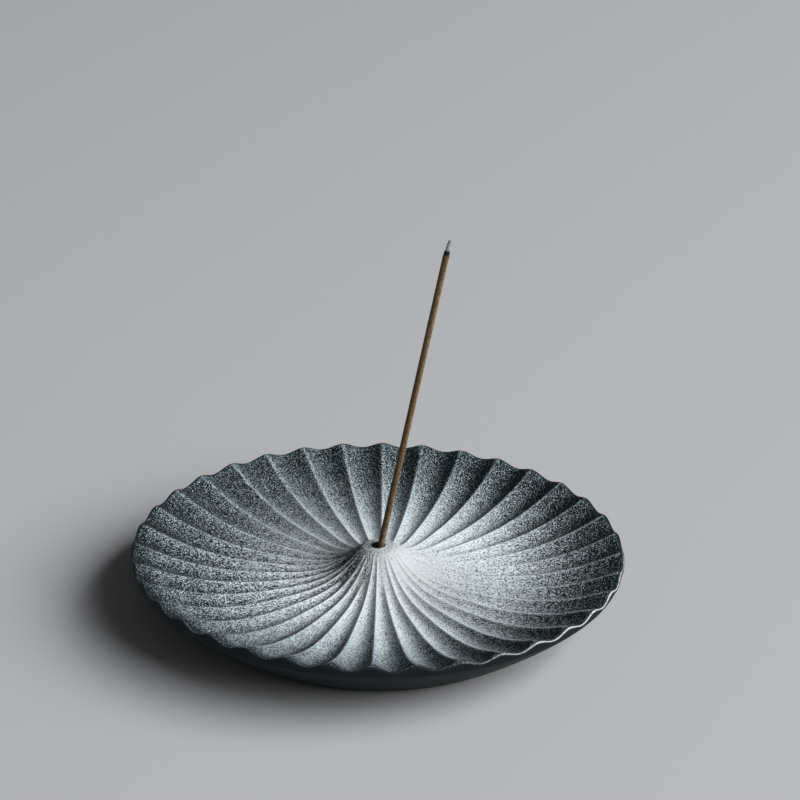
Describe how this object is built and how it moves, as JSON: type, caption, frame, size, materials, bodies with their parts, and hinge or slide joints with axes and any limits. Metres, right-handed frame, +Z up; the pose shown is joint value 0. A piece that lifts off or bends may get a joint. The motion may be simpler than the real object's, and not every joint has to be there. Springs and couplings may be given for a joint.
{
  "type": "incense stick holder",
  "caption": "Shallow round dish with radial flutes, a wavy rim and a central cone whose bore holds a leaning incense stick above the hollow that catches its ash.",
  "frame": {"origin": "centre of the foot ring's lower face, on the surface that the holder stands on, under the bore", "axes": "+Z up along the bore; +X the way the stick leans; +Y away from the viewer"},
  "size_m": [0.1198, 0.1198, 0.0995],
  "materials": {
    "dish_casting": "matte dark slate with a sandy grain, sprayed white towards the cone; satin near-black outer wall",
    "incense_paste": "dry brown extruded paste, fine lengthwise grain",
    "char": "dull black char",
    "ash": "powdery pale grey ash"
  },
  "bodies": {
    "dish": {"fluted_dish": "dish_casting"},
    "stick": {"incense_stick": "incense_paste", "charred_end": "char", "ash_tip": "ash"}
  },
  "joints": [
    {"name": "stick_lift", "type": "slide", "parent": "dish", "child": "stick", "axis": [0.1854, 0, 0.9827], "range_m": [0, 0.02]}
  ]
}
